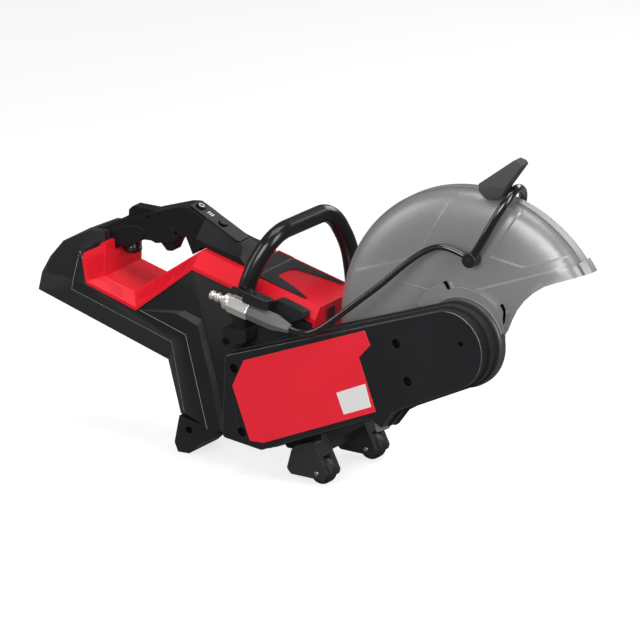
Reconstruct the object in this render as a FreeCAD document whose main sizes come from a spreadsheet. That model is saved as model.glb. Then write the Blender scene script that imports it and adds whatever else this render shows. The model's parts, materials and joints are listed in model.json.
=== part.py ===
"""Hand-held 14 inch cut-off saw: battery drive, belt arm, swinging guard and a water kit.

Every outline is drawn in the saw frame: the spindle axis is X = Z = 0, +X points
forward, +Z up, and Y = 0 is the split plane of the rear housing. Each body's Placement
moves that frame to the centre of the footprint on the floor.
"""
import FreeCAD, Part

import math
import os

import Sketcher
from FreeCAD import Placement, Rotation, Vector

SIZES = {
    # the saw frame in the part's own frame
    "spindle_x": 226.3, "centre_y": 5, "spindle_z": 207,
    # rear housing
    "core_half": 32, "side_half": 58, "band_half": 63, "split_gap": 0.2, "cavity_core": 28,
    "cavity_side": 54, "tray_half": 45, "tray_edge_half": 60,
    # belt arm
    "arm_inner_y": -58.2, "arm_flange_y": -62, "arm_seam_y": -76, "arm_outer_y": -94, "arm_wall": 5,
    "cover_plate": 5, "badge_thick": 0.8, "screw_r": 4.6, "screw_hole_r": 6, "plug_r": 2.5,
    # drive
    "motor_x": -247, "motor_z": -93.5, "stator_r": 30, "stator_bore": 19, "rotor_r": 18.4,
    "shaft_r": 6, "motor_pulley_r": 18, "spindle_pulley_r": 38, "belt_thick": 3, "belt_gap": 0.3,
    "spindle_r": 10, "arbor_r": 12.7, "flange_r": 34,
    # guard
    "guard_y": -15, "guard_r": 188, "guard_half": 31, "guard_round": 25, "guard_skin": 2.2,
    "rim_half": 6,
    # wheels and foot
    "wheel_x": -192.5, "wheel_z": -190.8, "wheel_r": 16.2, "wheel_half": 8, "wheel_y": 61,
    "fork_half": 18, "axle_r": 3, "foot_half": 36, "foot_hole_r": 4.5,
    # handles
    "front_tube_r": 11.25, "grip_half": 18, "post_half": 14, "trigger_half": 9,
    # water kit
    "valve_x": -330, "valve_z": 25, "valve_y": -100, "valve_tilt": 14, "hose_r": 4,
    "sleeve_r": 5.5,
}

doc = FreeCAD.newDocument("cutoff_saw")
sheet = doc.addObject("Spreadsheet::Sheet", "Sizes")
for row, (alias, value) in enumerate(SIZES.items(), start=1):
    sheet.set("A%d" % row, alias)
    sheet.set("B%d" % row, str(value))
    sheet.setAlias("B%d" % row, alias)
doc.recompute()


def size(alias):
    """A driving dimension, read back from the sheet."""
    return float(sheet.get(alias))


def bind(thing, prop, text):
    """Bind a property to the sheet; @name stands for the cell called name."""
    thing.setExpression(prop, text.replace("@", "Sizes."))


def new_body(label, tilt=0, at=(0, 0, 0)):
    """A body whose frame is the saw frame moved to `at` and tipped nose-down by `tilt`."""
    body = doc.addObject("PartDesign::Body", label)
    body.Label = label
    body.AllowCompound = True
    body.Placement = Placement(Vector(*at), Rotation(Vector(0, 1, 0), tilt))
    for axis, origin, shift in zip("xyz", ("spindle_x", "centre_y", "spindle_z"), at):
        bind(body, "Placement.Base." + axis, "@%s + (%s)" % (origin, shift))
    return body


def attach(body, name, plane, offset):
    """An empty sketch on one of the body's own origin planes, moved along its normal."""
    sketch = body.newObject("Sketcher::SketchObject", name)
    support = [f for f in body.Origin.OriginFeatures if f.Role == plane][0]
    sketch.AttachmentSupport = [(support, "")]
    sketch.MapMode = "FlatFace"
    bind(sketch, "AttachmentOffset.Base.z", offset)
    return sketch


def draw_outline(sketch, corners):
    """Straight runs between corners; a corner with a third value is rounded to that radius."""
    stops = []
    count = len(corners)
    for i, corner in enumerate(corners):
        here = Vector(corner[0], corner[1], 0)
        if len(corner) < 3:
            stops.append((here, here, None))
            continue
        back = Vector(corners[i - 1][0], corners[i - 1][1], 0) - here
        on = Vector(corners[(i + 1) % count][0], corners[(i + 1) % count][1], 0) - here
        back.normalize()
        on.normalize()
        half = back.getAngle(on) / 2
        reach = corner[2] / math.tan(half)
        middle = here + (back + on).normalize() * (corner[2] / math.sin(half) - corner[2])
        stops.append((here + back * reach, here + on * reach, middle))
    for i, (start, end, middle) in enumerate(stops):
        if middle is not None:
            sketch.addGeometry(Part.Arc(start, middle, end))
        following = stops[(i + 1) % count][0]
        if end.distanceToPoint(following) > 1e-6:
            sketch.addGeometry(Part.LineSegment(end, following))


def inset(corners, gap):
    """A clockwise outline moved inwards by gap, its rounded corners shrunk or grown to match."""
    moved = []
    for i, here in enumerate(corners):
        before = corners[i - 1]
        after = corners[(i + 1) % len(corners)]
        coming = Vector(here[0] - before[0], here[1] - before[1], 0).normalize()
        going = Vector(after[0] - here[0], after[1] - here[1], 0).normalize()
        inwards = Vector(coming.y + going.y, -coming.x - going.x, 0)
        step = inwards * (gap / (1 + coming.dot(going)))
        grow = gap if coming.cross(going).z > 0 else -gap
        rounding = [max(here[2] + grow, 0.5)] if len(here) > 2 else []
        moved.append((here[0] + step.x, here[1] + step.y, *rounding))
    return moved


def round_end(radius, angles):
    """Corners of an arc about the spindle, as the meeting points of tangents at these angles."""
    corners = []
    for first, second in zip(angles, angles[1:]):
        reach = radius / math.cos(math.radians(first - second) / 2)
        middle = math.radians(first + second) / 2
        corners.append((reach * math.cos(middle), reach * math.sin(middle), radius))
    return corners


def draw_circles(sketch, centres, radius):
    """Circles whose radius is bound to the sheet."""
    for x, y in centres:
        index = sketch.addGeometry(Part.Circle(Vector(x, y, 0), Vector(0, 0, 1), 1))
        number = sketch.addConstraint(Sketcher.Constraint("Radius", index, 1))
        bind(sketch, "Constraints[%d]" % number, radius)


def pad(body, name, sketch, length):
    feature = body.newObject("PartDesign::Pad", name)
    feature.Profile = sketch
    bind(feature, "Length", length)
    return feature


def slab(body, name, corners, high, low):
    """Pad an XZ outline from Y = high down to Y = low."""
    sketch = attach(body, name + "_outline", "XZ_Plane", "-(%s)" % high)
    draw_outline(sketch, corners)
    return pad(body, name, sketch, "(%s) - (%s)" % (high, low))


def slot(body, name, corners, high, low):
    """Cut an XZ outline out of the body from Y = high down to Y = low."""
    sketch = attach(body, name + "_outline", "XZ_Plane", "-(%s)" % high)
    draw_outline(sketch, corners)
    return cut_down(body, name, sketch, high, low)


def cut_down(body, name, sketch, high, low):
    feature = body.newObject("PartDesign::Pocket", name)
    feature.Profile = sketch
    feature.Reversed = True
    bind(feature, "Length", "(%s) - (%s)" % (high, low))
    return feature


def discs(body, name, centres, radius, high, low):
    """Round bars along Y."""
    sketch = attach(body, name + "_circles", "XZ_Plane", "-(%s)" % high)
    draw_circles(sketch, centres, radius)
    return pad(body, name, sketch, "(%s) - (%s)" % (high, low))


def holes(body, name, centres, radius, high, low):
    """Round holes along Y."""
    sketch = attach(body, name + "_circles", "XZ_Plane", "-(%s)" % high)
    draw_circles(sketch, centres, radius)
    return cut_down(body, name, sketch, high, low)


def turned(body, name, corners, axis="V_Axis", angle=360, upwards=False):
    """Revolve an XY outline (radius, Y) about the body's Y axis, or about X for H_Axis."""
    sketch = attach(body, name + "_outline", "XY_Plane", "0")
    draw_outline(sketch, corners)
    feature = body.newObject("PartDesign::Revolution", name)
    feature.Profile = sketch
    feature.ReferenceAxis = (sketch, [axis])
    feature.Angle = angle
    feature.Reversed = upwards
    return feature


def washer(inner, outer, low, high, bevel=0.0):
    """Half section of a ring about Y."""
    corners = [(inner, low), (outer - bevel, low), (outer, low + bevel)]
    corners += [(outer, high - bevel), (outer - bevel, high), (inner, high)]
    return corners if bevel else [corners[0], (outer, low), (outer, high), corners[-1]]


def lofted(body, name, first, first_y, second, second_y):
    """Ruled loft between two XZ outlines with the same number of corners."""
    start = attach(body, name + "_start", "XZ_Plane", "-(%s)" % first_y)
    draw_outline(start, first)
    end = attach(body, name + "_end", "XZ_Plane", "-(%s)" % second_y)
    draw_outline(end, second)
    feature = body.newObject("PartDesign::AdditiveLoft", name)
    feature.Profile = start
    feature.Sections = [end]
    feature.Ruled = True
    return feature


def tube_path(points):
    """Straight runs joined by tangent arcs, each as large as its two runs allow."""
    stops = [Vector(*p) for p in points]
    edges = []
    radii = []
    last = stops[0]
    for before, here, after in zip(stops, stops[1:], stops[2:]):
        back = before - here
        on = after - here
        reach = 0.45 * min(back.Length, on.Length)
        back.normalize()
        on.normalize()
        half = back.getAngle(on) / 2
        radius = reach * math.tan(half)
        start = here + back * reach
        end = here + on * reach
        middle = here + (back + on).normalize() * (radius / math.sin(half) - radius)
        edges.append(Part.LineSegment(last, start).toShape())
        edges.append(Part.Arc(start, middle, end).toShape())
        radii.append(radius)
        last = end
    edges.append(Part.LineSegment(last, stops[-1]).toShape())
    return Part.Wire(edges), radii


def pipe(label, points, radius, bore=0):
    """A round tube swept along a 3-D route, which no sketch plane holds."""
    wire, radii = tube_path(points)
    start = Vector(*points[0])
    aim = Vector(*points[1]) - start
    solids = []
    for r in (radius, bore):
        if r:
            ring = Part.Wire([Part.makeCircle(r, start, aim)])
            solids.append(wire.makePipeShell([ring], True, False, 1))
    shape = solids[0].cut(solids[1]) if bore else solids[0]
    feature = doc.addObject("Part::Feature", label)
    feature.Label = label
    feature.Shape = shape
    spindle = Vector(size("spindle_x"), size("centre_y"), size("spindle_z"))
    feature.Placement = Placement(spindle, Rotation())
    section = math.pi * (radius * radius - bore * bore)
    print("%s length %.1f, volume/section %.1f, radii %s" % (
        label, wire.Length, shape.Volume / section, " ".join("%.0f" % r for r in radii)))
    return feature


# --- rear housing ---------------------------------------------------------------------
CORE = [(-617, -28), (-612, -5), (-600, 17), (-581, 40), (-541, 59), (-522, 60), (-519, 32),
        (-518, 3), (-472, -11), (-375, 56), (-211.5, 9), (-211.5, -128), (-228, -152),
        (-352, -172), (-413, -158), (-431, -91)]
SIDE = [(-554, -12), (-552, 0), (-549, 12), (-545, 28), (-543, 38), (-541, 38), (-538, 27),
        (-533, -2), (-461, -26), (-380, 38), (-211.5, -9), (-211.5, -120), (-228, -146),
        (-352, -166), (-393, -147), (-411, -59)]
BAND_ROOT = [(-456, -23.5), (-389, -46), (-358.5, -162.5), (-334, -160.5), (-345.7, -100.7),
             (-367.5, -23.9), (-392, -15.7)]
BAND_FACE = [(-456, -23.5), (-389, -46), (-358.5, -162.5), (-338.4, -161), (-351.5, -101.5),
             (-370.4, -30.8), (-400.9, -19.6)]
ARM_ROOM = [(-608, -25), (-602, -5), (-592, 14), (-575, 33), (-540, 52), (-526, 52), (-524, 27),
            (-523, -3), (-473, -17), (-376, 49), (-356, 43), (-380, -120), (-422, -88), (-440, -84)]
MOTOR_ROOM = [(-372, 27), (-216, -15), (-216, -117), (-230, -141), (-350, -161), (-385, -145),
              (-404, -64)]
MOTOR = (size("motor_x"), size("motor_z"))


def rear_housing(label, near):
    """One half of the black clamshell, from the split plane out to its stepped side."""
    body = new_body(label)
    def span(inner, outer):
        low, high = ("-(%s)" % outer, "-(%s)" % inner) if near else (inner, outer)
        return high, low

    slab(body, "core", CORE, *span("@split_gap / 2", "@core_half"))
    ends = ("@core_half", "@side_half")
    lofted(body, "flank", CORE, ends[0] if not near else "-" + ends[0],
           SIDE, ends[1] if not near else "-" + ends[1])
    lofted(body, "band", BAND_ROOT, "@side_half - 0.01" if not near else "0.01 - @side_half",
           BAND_FACE, "@band_half" if not near else "-@band_half")
    slot(body, "rear_room", ARM_ROOM, *span("@split_gap / 2 - 1", "@cavity_core"))
    slot(body, "motor_room", MOTOR_ROOM, *span("@split_gap / 2 - 1", "@cavity_side"))
    if near:
        holes(body, "shaft_hole", [MOTOR], "@shaft_r + 3", "-@cavity_side + 2", "-@side_half - 2")


def hood():
    """Red cover over the motor: a sloped top with chamfered sides and a front plate."""
    body = new_body("hood")
    top = [(-296, 38), (-206, 13), (-206, -108), (-211, -108), (-211, 9.5), (-296, 33.8)]
    low = [(-296, 25), (-206, -1), (-206, -100), (-211, -100), (-211, -6), (-296, 18)]
    slab(body, "middle", top, "@tray_half", "-@tray_half")
    lofted(body, "near_edge", top, "-@tray_half", low, "-@side_half")
    lofted(body, "far_edge", top, "@tray_half", low, "@side_half")


def hood_panel():
    """Black panel on the top of the hood, cut out round a red tongue."""
    body = new_body("hood_top_panel")
    sketch = attach(body, "plan", "XY_Plane", "0")
    draw_outline(sketch, [(-316.5, -44), (-231, -44, 2), (-227, -39.5, 1), (-251.7, -28.1),
                          (-281.5, -18.5, 3), (-284, -8), (-283, 9.3), (-278.7, 20.5, 8),
                          (-253, 29.6), (-223, 36.2), (-223, 43.5), (-316.5, 43.5)])
    pad(body, "sheet", sketch, "60")
    slot(body, "above", [(-320, 90), (-180, 90), (-180, 7.1), (-295.7, 39.3), (-296.7, 40.45),
                         (-320, 46.85)], "80", "-80")
    slot(body, "below", [(-320, -30), (-180, -30), (-180, 5.9), (-295.7, 38.1), (-296.7, 39.25),
                         (-320, 45.65)], "80", "-80")


def handle_tray():
    """Red saddle under the rear grip: a thin floor with sloped bands down both sides."""
    body = new_body("handle_tray")
    inner = [(-513, 36), (-514, 7), (-471.5, -6), (-374.5, 61), (-297, 39), (-297, 34.6),
             (-375, 56.5), (-472, -10.5), (-517.5, 3.5), (-518.5, 36)]
    outer = [(-536, 38), (-531, 2), (-461, -21), (-380, 43), (-297, 20), (-297, 15),
             (-380, 38.5), (-461, -25.5), (-532.5, -1.5), (-537.5, 27.5)]
    slab(body, "floor", inner, "@tray_half", "-@tray_half")
    lofted(body, "near_band", inner, "-@tray_half", outer, "-@tray_edge_half")
    lofted(body, "far_band", inner, "@tray_half", outer, "@tray_edge_half")


def boxed(body, name, x_low, x_high, z_low, z_high, high, low):
    """Rectangular block in the saw frame."""
    corners = [(x_low, z_low), (x_high, z_low), (x_high, z_high), (x_low, z_high)]
    return slab(body, name, corners, high, low)


PANEL_TILT = 28
PANEL_AT = (-411, 0, 106.9)
BUTTONS = {"power_button": 10, "water_button": 46}


def rear_handle():
    """Grip shell, its soft sleeve and boot, and the post that carries the controls."""
    grip = new_body("handle_grip")
    upper = [(-531, 61.5), (-541, 59.5), (-521.6, 60.9), (-520, 44), (-497, 40), (-474, 53),
             (-464, 53.5), (-457, 51), (-431, 56), (-422, 66), (-414, 66), (-404, 44), (-396, 50),
             (-389, 60), (-389, 92.7), (-404, 100.6), (-413, 104, 5), (-424, 102.4), (-464.5, 89.5),
             (-510.6, 73)]
    slab(grip, "shell", upper, "@grip_half", "-@grip_half")
    slot(grip, "trigger_room", [(-460, 44), (-418, 44), (-418, 77), (-460, 77)],
         "@trigger_half + 1", "-@trigger_half - 1")
    holes(grip, "pin_holes", [(-428, 68), (-467.5, 83)], "@plug_r + 0.02", "30", "-30")
    slot(grip, "lever_room", [(-512.5, 69), (-460.5, 79), (-460.5, 97), (-512.5, 97)],
         "@trigger_half + 1", "-@trigger_half - 1")

    post = new_body("control_post")
    top = [(-388.6, 60), (-388.6, 92.5), (-380, 88), (-334, 63.5), (-317, 45.6), (-374, 62)]
    base = [(-388.6, 60), (-388.6, 72), (-371, 66), (-325, 55.5), (-317, 45.6), (-374, 62)]
    slab(post, "middle", top, "@post_half", "-@post_half")
    lofted(post, "near_side", top, "-@post_half", base, "-@post_half - 22")
    lofted(post, "far_side", top, "@post_half", base, "@post_half + 22")
    slot(post, "switch_room", [(-384, 67), (-384, 85), (-330, 58), (-330, 54)], "13", "-13")
    panel = new_body("control_panel", tilt=PANEL_TILT, at=PANEL_AT)
    sketch = attach(panel, "outline", "XY_Plane", "-2")
    draw_outline(sketch, [(1, -14, 4), (80, -14, 4), (80, 14, 4), (1, 14, 4)])
    pad(panel, "plate", sketch, "1.6")
    sketch = attach(panel, "button_circles", "XY_Plane", "-5")
    draw_circles(sketch, [(x, 0) for x in BUTTONS.values()], "@screw_hole_r + 0.3")
    wells = panel.newObject("PartDesign::Pocket", "button_holes")
    wells.Profile = sketch
    wells.Reversed = True
    bind(wells, "Length", "10")


def grip_sleeve():
    """Soft sleeve round the rear of the grip, with the round boot under it."""
    sleeve = new_body("grip_sleeve")
    outer = [(-521, 62), (-507, 66.2), (-482, 71, 3), (-470, 64.7, 3), (-475.5, 52.8), (-499, 40),
             (-518, 43)]
    slab(sleeve, "near_pad", outer, "-@grip_half", "-@grip_half - 2")
    slab(sleeve, "far_pad", outer, "@grip_half + 2", "@grip_half")
    slab(sleeve, "boot", [(-512.5, 42), (-512.5, 30, 5), (-500, 29, 5), (-499, 38.4)], "13", "-13")


def controls():
    """Trigger, lock-off lever, their pins and springs, the switch and the buttons."""
    trigger = new_body("trigger")
    slab(trigger, "finger", [(-455.5, 58), (-455.5, 51), (-446, 40.7, 4), (-437, 41.5, 4),
                             (-431, 54.5), (-421.5, 66), (-421, 73), (-436, 73), (-452, 64)],
         "@trigger_half", "-@trigger_half")
    holes(trigger, "pin_hole", [(-428, 68)], "@plug_r + 0.05", "30", "-30")
    pins = new_body("handle_pins")
    discs(pins, "pins", [(-428, 68), (-467.5, 83)], "@plug_r", "@grip_half - 1", "-@grip_half + 1")
    lever = new_body("lock_off_lever")
    slab(lever, "paddle", [(-507.5, 75.5), (-507, 86, 3), (-499.5, 91.5, 5), (-462.5, 90.5),
                           (-461.5, 81.5), (-468.5, 78.6)],
         "@trigger_half", "-@trigger_half")
    holes(lever, "pin_hole", [(-467.5, 83)], "@plug_r + 0.05", "30", "-30")
    switch = new_body("switch_block")
    boxed(switch, "block", -380, -366, 67.5, 73.5, "10", "-10")
    for label, x, low, high in (("trigger_spring", -446.5, 68.7, 76.9),
                                ("lock_off_spring", -497.5, 72.6, 75.6)):
        spring = new_body(label)
        sketch = attach(spring, "coil", "XY_Plane", str(low))
        draw_circles(sketch, [(x, 0)], "@plug_r")
        pad(spring, "stack", sketch, str(high - low))
    for label, x in BUTTONS.items():
        button = new_body(label, tilt=PANEL_TILT, at=PANEL_AT)
        sketch = attach(button, "face", "XY_Plane", "-0.4")
        draw_circles(sketch, [(x, 0)], "@screw_hole_r")
        pad(button, "cap", sketch, "2.2")


def front_handle():
    """Bent tube over the motor cover; each end stands in a clamp block on the housing."""
    route = [(-303, -72.5, -40), (-303, -72.5, 2), (-289, -69, 56), (-268, -49, 99),
             (-255, 66, 103), (-240, 85, 56), (-233, 85, 12), (-233, 85, -26)]
    pipe("front_handle", route, size("front_tube_r"))
    clamps = new_body("front_handle_clamps")
    slab(clamps, "near_block", [(-322, -46, 4), (-288, -34, 4), (-288, -19, 3), (-322, -19, 3)],
         "-@side_half - 0.2", "-87")
    slab(clamps, "far_block", [(-250, -38, 4), (-216, -38, 4), (-216, -6, 3), (-250, -6, 3)],
         "100", "@side_half + 0.2")
    sockets = (("near_socket", (-303, -72.5), "-40"), ("far_socket", (-233, 85), "-26"))
    for name, centre, floor in sockets:
        sketch = attach(clamps, name + "_circle", "XY_Plane", floor)
        draw_circles(sketch, [centre], "@front_tube_r + 0.05")
        socket = clamps.newObject("PartDesign::Pocket", name)
        socket.Profile = sketch
        socket.Reversed = True
        bind(socket, "Length", "60")
    bolts = new_body("front_handle_bolts")
    discs(bolts, "near", [(-316, -36)], "@screw_r", "-87", "-89")
    discs(bolts, "far", [(-233, -31)], "@screw_r", "102", "100")


# --- belt arm --------------------------------------------------------------------------
ARM = ([(-314, -52.9, 7)] + round_end(50, (108.6, 50, -8, -66.5))
       + [(-61, -83.5), (-75, -92), (-91, -113.5, 3), (-108, -104, 5), (-262, -167, 8),
          (-318, -158, 6)])
ARM_CASTING = inset(ARM, -2.5)
ARM_FLANGE = inset(ARM, -4.5)
ARM_ROOM_INSIDE = inset(ARM, 6)
BADGE = [(-287, -55), (-303, -90), (-278, -157), (-259, -157), (-99, -93), (-123, -27), (-107, -9),
         (-115, 9)]
BIG_SCREWS = [(-301, -68), (-290, -148), (-71, -2), (-55, -48)]
SMALL_SCREW = [(21, 11)]


def belt_arm():
    """Cast arm, its bolted cover, the coloured badge plate and the cover screws."""
    casting = new_body("arm_casting")
    slab(casting, "flange", ARM_FLANGE, "@arm_inner_y", "@arm_flange_y")
    slab(casting, "shell", ARM_CASTING, "@arm_flange_y + 0.01", "@arm_seam_y")
    slot(casting, "belt_room", ARM_ROOM_INSIDE, "@arm_inner_y - @arm_wall", "@arm_seam_y - 1")
    holes(casting, "bearing_seat", [(0, 0)], "@spindle_r + 5.05", "-50", "-70")
    holes(casting, "shaft_hole", [MOTOR], "@shaft_r + 3", "-50", "-70")
    discs(casting, "bosses", BIG_SCREWS, "@screw_hole_r", "@arm_inner_y - @arm_wall + 0.01",
          "@arm_seam_y")
    cover = new_body("arm_cover")
    slab(cover, "shell", ARM, "@arm_seam_y", "@arm_outer_y")
    slot(cover, "belt_room", ARM_ROOM_INSIDE, "@arm_seam_y + 1", "@arm_outer_y + @cover_plate")
    discs(cover, "bosses", BIG_SCREWS, "@screw_hole_r + 3", "@arm_seam_y", "@arm_outer_y + 0.01")
    holes(cover, "screw_wells", BIG_SCREWS, "@screw_hole_r", "@arm_outer_y + 8", "@arm_outer_y - 1")
    holes(cover, "small_well", SMALL_SCREW, "@plug_r", "@arm_outer_y + 2.5", "@arm_outer_y - 1")
    badge = new_body("badge_plate")
    slab(badge, "plate", BADGE, "@arm_outer_y", "@arm_outer_y - @badge_thick")
    screws = new_body("arm_cover_screws")
    discs(screws, "heads", BIG_SCREWS, "@screw_r", "@arm_outer_y + 8", "@arm_outer_y + 4")
    stop = new_body("guard_stop_lug")
    slab(stop, "lug", [(-119, -132, 2), (-124, -116), (-113, -104), (-100, -104), (-102, -120, 2),
                      (-105, -126, 2)],
         "-50", "@arm_inner_y")


def drive():
    """Motor, pulleys, belt, spindle and the arbor hardware."""
    belt = new_body("drive_belt")
    slab(belt, "loop", belt_loop("belt_gap", True), "-@side_half - 7", "-@side_half - 17")
    slot(belt, "inside", belt_loop("belt_gap", False), "-50", "-90")
    pulley = new_body("motor_pulley", at=(MOTOR[0], 0, MOTOR[1]))
    turned(pulley, "wheel", washer(size("shaft_r") + 0.02, size("motor_pulley_r"), -76, -64.5, 1))
    driven = new_body("spindle_pulley")
    turned(driven, "wheel", washer(size("spindle_r"), size("spindle_pulley_r"), -76, -64.5, 1))
    stator = new_body("motor_stator", at=(MOTOR[0], 0, MOTOR[1]))
    turned(stator, "ring", washer(size("stator_bore"), size("stator_r"), -38, 22, 2))
    plate = new_body("motor_plate")
    slab(plate, "plate", [(-290, -60), (-218, -60), (-218, -114), (-231, -138), (-290, -140)],
         "-39", "-43")
    holes(plate, "hole", [MOTOR], "11.05", "-30", "-50")
    rotor = new_body("motor_rotor", at=(MOTOR[0], 0, MOTOR[1]))
    turned(rotor, "core", [(0, -82), (6, -82), (6, -38), (size("rotor_r"), -37),
                           (size("rotor_r"), 21), (6, 22), (6, 42), (0, 42)])
    fan = new_body("motor_fan", at=(MOTOR[0], 0, MOTOR[1]))
    turned(fan, "disc", washer(size("shaft_r"), 27, 26, 38, 2))
    bearings = new_body("bearings")
    seats = (("drive_end", MOTOR, "@shaft_r", -49), ("fan_end", MOTOR, "@shaft_r", 39.5),
             ("spindle_end", (0, 0), "@spindle_r", -63))
    for name, centre, bore, low in seats:
        discs(bearings, name, [centre], bore + " + 5", str(low + 10), str(low))
    bores = (("motor_bore", MOTOR, "@shaft_r"), ("spindle_bore", (0, 0), "@spindle_r"))
    for name, centre, bore in bores:
        holes(bearings, name, [centre], bore + " + 0.03", "90", "-90")
    spindle = new_body("spindle")
    turned(spindle, "bar", [(0, -80), (8, -80), (8, -77), (10, -76), (10, -20),
                            (size("arbor_r"), -19.5), (size("arbor_r"), -9), (0, -9)])
    inner = new_body("inner_flange")
    turned(inner, "plate", [(10, -27), (30, -27), (size("flange_r"), -22), (size("flange_r"), -19),
                            (size("arbor_r"), -19), (size("arbor_r"), -20), (10, -20.4)])
    outer = new_body("outer_flange")
    turned(outer, "plate", [(5.1, -9), (size("flange_r"), -9), (size("flange_r"), -6), (24, -1),
                            (5.1, -1)])
    bolt = new_body("arbor_bolt")
    turned(bolt, "stem", [(0, -8.9), (5, -8.9), (5, -1), (11, -1), (11, 7), (0, 7)])


def belt_loop(gap, outside):
    """Outline of the belt round both pulleys, as tangent lines and two arcs worked out by steps."""
    grow = size(gap) + (size("belt_thick") if outside else 0)
    small = size("motor_pulley_r") + grow
    large = size("spindle_pulley_r") + grow
    span = math.hypot(*MOTOR)
    heading = math.atan2(MOTOR[1], MOTOR[0])
    lean = math.acos((large - small) / span)
    corners = []
    wraps = ((large, (0, 0), heading + lean, 2 * (math.pi - lean)),
             (small, MOTOR, heading - lean, 2 * lean))
    for radius, centre, start, sweep in wraps:
        for step in range(25):
            angle = start + sweep * step / 24
            corners.append((centre[0] + radius * math.cos(angle),
                            centre[1] + radius * math.sin(angle)))
    return corners


# --- guard ---------------------------------------------------------------------------
def arc(radius, start, stop, steps):
    """Points on a circle about the spindle, from one angle to another."""
    turns = [math.radians(start + (stop - start) * i / steps) for i in range(steps + 1)]
    return [(radius * math.cos(t), radius * math.sin(t)) for t in turns]


BELOW_GUARD = ([(200, 117.6), (176.3, 108.6), (157.7, 102.9), (125.9, 91.9), (110, 85.2),
                (94.1, 74.3), (81.4, 62.4), (71.9, 49.5), (65.5, 37), (59.1, 21.7)]
               + arc(56, 15, -171, 22)
               + [(-230, -74), (-230, -260), (260, -260), (260, 118)])
HUB_PLATE = (arc(77, 150, 106, 5) + [(-17.5, 74.5), (-14.8, 68.4)] + arc(70, 100, 46, 6)
             + [(55.2, 54.7), (61, 45.8), (59.8, 36.6), (55.2, 18.5)] + arc(51, 20, 146, 12))
LIP = [(195, -6), (195, 6), (190, 14), (187.5, 14), (188.3, 9), (188.3, -9), (187.5, -14),
       (190, -14)]


def guard_profile(side):
    """Half of the shell's cross-section: flat side, rounded edge and half the outer band."""
    half = size("guard_half")
    skin = size("guard_skin")
    outer = size("guard_r")
    inner = outer - skin
    fillet = size("guard_round")
    near = 18 if side < 0 else 66
    points = [(near, -half), (outer, -half, fillet), (outer, -0.1), (inner, -0.1),
              (inner, -half + skin, fillet - skin), (near, -half + skin)]
    if side > 0:
        points = [(p[0], -p[1]) + tuple(p[2:]) for p in points]
    return points


def guard():
    """Swinging blade guard: two pressed shells, the rim band, hub ring, lever and screws."""
    middle = (0, size("guard_y"), 0)
    for label, side in (("guard_right_shell", -1), ("guard_left_shell", 1)):
        shell = new_body(label, at=middle)
        turned(shell, "drum", guard_profile(side))
        slot(shell, "below", BELOW_GUARD, "90", "-90")
        if side > 0:
            holes(shell, "arbor_window", [(0, 0)], "66", "90", "-10")
            slot(shell, "front_corner", [(112, 88), (76, 69), (57, 56), (40, 40), (60, 0),
                                         (150, 60)], "90", "-10")
    rim = new_body("guard_rim", at=middle)
    turned(rim, "band", washer(size("guard_r") + 0.05, size("guard_r") + 2, -size("rim_half"),
                               size("rim_half"), 0.4))
    turned(rim, "front_lip", LIP, angle=38, upwards=True)
    slot(rim, "below", BELOW_GUARD, "90", "-90")
    slot(rim, "tail", [(-230, -80), (-100, -80), (-100, 40), (-230, 40)], "90", "-90")
    ring = new_body("guard_hub_ring")
    turned(ring, "collar", [(21.5, -57.8), (55, -57.8), (57, -55), (57, -46.05), (50, -46.05),
                            (50, -52), (21.5, -52)])
    slab(ring, "plate", HUB_PLATE, "-46.05", "-52")
    lever = new_body("guard_lever")
    paddle = [(17, 203), (63.5, 238, 3), (72, 236, 2), (75, 232, 2), (53, 201.5), (48, 189),
              (32, 182.4), (22.4, 184.5), (16.2, 193.4)]
    slab(lever, "foot", paddle, "-22", "-38.01")
    holes(lever, "seat", [(0, 0)], "@guard_r + 0.3", "-20", "-38")
    slab(lever, "paddle", paddle, "-38", "-45")
    screws = new_body("guard_screws")
    discs(screws, "ring", arc(44, 40, 130, 2), "@plug_r", "-46.1", "-52")


# --- water kit -------------------------------------------------------------------------
def water_kit():
    """Inlet nipple, ball valve, coupling, knob, bracket, hoses and fittings."""
    at = (size("valve_x"), size("valve_y"), size("valve_z"))
    tilt = size("valve_tilt")
    nipple = new_body("inlet_nipple", tilt=tilt, at=at)
    turned(nipple, "stem", [(0, 3), (0, 5.5), (5, 5.9), (6, 4.6), (10, 4.6), (11, 6.2), (14, 6.2),
                            (15, 4.9), (21, 4.9), (21, 3)], axis="H_Axis")
    valve = new_body("valve_body", tilt=tilt, at=at)
    turned(valve, "block", [(21.05, 3), (21.05, 10), (24, 12), (57, 12), (57, 3)], axis="H_Axis")
    coupling = new_body("valve_coupling", tilt=tilt, at=at)
    turned(coupling, "taper", [(57.05, 3), (57.05, 11), (96, 11), (116, 5.2), (116, 3)],
           axis="H_Axis")
    knob = new_body("valve_knob", tilt=tilt, at=at)
    sketch = attach(knob, "outline", "XY_Plane", "12.3")
    draw_outline(sketch, [(46, -9, 3), (62, -9, 3), (82, -7, 3), (82, 7, 3), (62, 9, 3),
                          (46, 9, 3)])
    pad(knob, "cap", sketch, "13")
    sketch = attach(valve, "ring_circle", "XY_Plane", "25.4")
    draw_circles(sketch, [(52, 0)], "@sleeve_r")
    pad(valve, "ring", sketch, "3")
    bracket = new_body("valve_bracket")
    slab(bracket, "plate", [(-308, 36, 3), (-262, 24, 3), (-268, -8, 3), (-290, -4, 3),
                            (-312, -4, 3)], "-84", "-87.8")


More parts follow.
